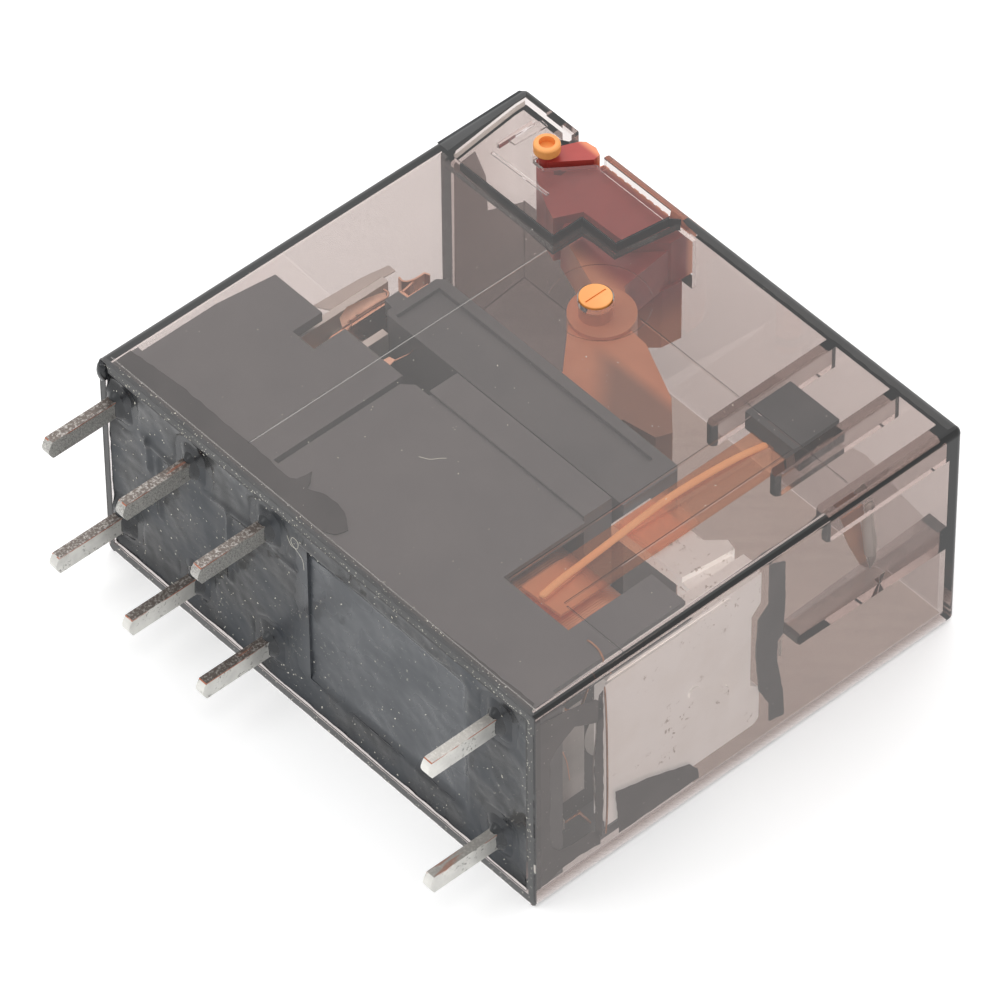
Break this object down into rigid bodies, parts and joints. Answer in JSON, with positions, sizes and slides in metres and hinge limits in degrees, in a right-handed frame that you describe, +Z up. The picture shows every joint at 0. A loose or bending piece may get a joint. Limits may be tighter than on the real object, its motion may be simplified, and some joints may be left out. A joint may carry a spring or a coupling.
{
  "type": "general purpose relay",
  "caption": "Printed-circuit relay in a clear smoke cover, with blade pins on one edge, changeover contacts, a coil and an orange test lever.",
  "frame": {"origin": "centre of the seating plane on the circuit board: mid length, mid thickness, at the cover's open rim", "axes": "+Z up, out of the broad side that faces up as the relay lies; +X along the length towards the coil end; +Y away from the circuit board, so the pins point to -Y"},
  "size_m": [0.029, 0.0298, 0.0131],
  "materials": {
    "smoke_cover": "clear smoke-tinted moulding",
    "dark_plastic": "matt dark grey moulding",
    "bobbin_plastic": "matt black moulding",
    "resin": "glossy dark potting resin",
    "tinned_metal": "tin-plated, with bare copper on the cut edges",
    "spring_copper": "bright copper alloy strip",
    "contact_silver": "polished silver alloy",
    "copper_wire": "enamelled copper wire",
    "soft_iron": "zinc-plated soft iron",
    "nickel_plate": "dull nickel plate",
    "orange_strip": "translucent orange moulding",
    "orange_plastic": "orange moulding"
  },
  "bodies": {
    "housing": {"base": "dark_plastic", "base_seal": "resin", "bobbin": "bobbin_plastic", "coil_core": "soft_iron", "coil_lead_1": "copper_wire", "coil_lead_2": "copper_wire", "coil_terminal_1": "tinned_metal", "coil_terminal_2": "tinned_metal", "coil_winding": "copper_wire", "contact_nc_a": "contact_silver", "contact_nc_b": "contact_silver", "contact_no_a": "contact_silver", "contact_no_b": "contact_silver", "cover": "smoke_cover", "indicator_mask": "dark_plastic", "terminal_com_a": "tinned_metal", "terminal_com_b": "tinned_metal", "terminal_nc_a": "tinned_metal", "terminal_nc_b": "tinned_metal", "terminal_no_a": "tinned_metal", "terminal_no_b": "tinned_metal", "yoke": "soft_iron"},
    "lever": {"test_lever": "orange_plastic"},
    "card": {"pusher_card": "dark_plastic"},
    "armature_group": {"armature": "nickel_plate", "armature_spring": "nickel_plate", "indicator_strip": "orange_strip"},
    "spring_a": {"contact_spring_a": "spring_copper", "moving_contact_a": "contact_silver"},
    "spring_b": {"contact_spring_b": "spring_copper", "moving_contact_b": "contact_silver"}
  },
  "joints": [
    {"name": "card_slide", "type": "slide", "parent": "housing", "child": "card", "axis": [-1, 0, 0], "range_m": [0, 0.0004]},
    {"name": "lever_pivot", "type": "hinge", "parent": "housing", "child": "lever", "pos_m": [-0.00235, 0.01885, 0], "axis": [0, 0, -1], "range_deg": [0, 4]},
    {"name": "armature_hinge", "type": "hinge", "parent": "housing", "child": "armature_group", "pos_m": [0.0131, 0.00465, 0], "axis": [0, 0, 1], "range_deg": [0, 3.1]},
    {"name": "spring_a_flex", "type": "hinge", "parent": "housing", "child": "spring_a", "pos_m": [-0.00928, 0.00335, 0.0029], "axis": [0, 0, 1], "range_deg": [0, 2.4]},
    {"name": "spring_b_flex", "type": "hinge", "parent": "housing", "child": "spring_b", "pos_m": [-0.00928, 0.00335, -0.0029], "axis": [0, 0, 1], "range_deg": [0, 2.4]}
  ],
  "couplings": [
    {"joint": "lever_pivot", "follows": "card_slide", "rad_per_m": 174.53},
    {"joint": "armature_hinge", "follows": "card_slide", "rad_per_m": 135.26},
    {"joint": "spring_a_flex", "follows": "card_slide", "rad_per_m": 104.72},
    {"joint": "spring_b_flex", "follows": "card_slide", "rad_per_m": 104.72}
  ]
}
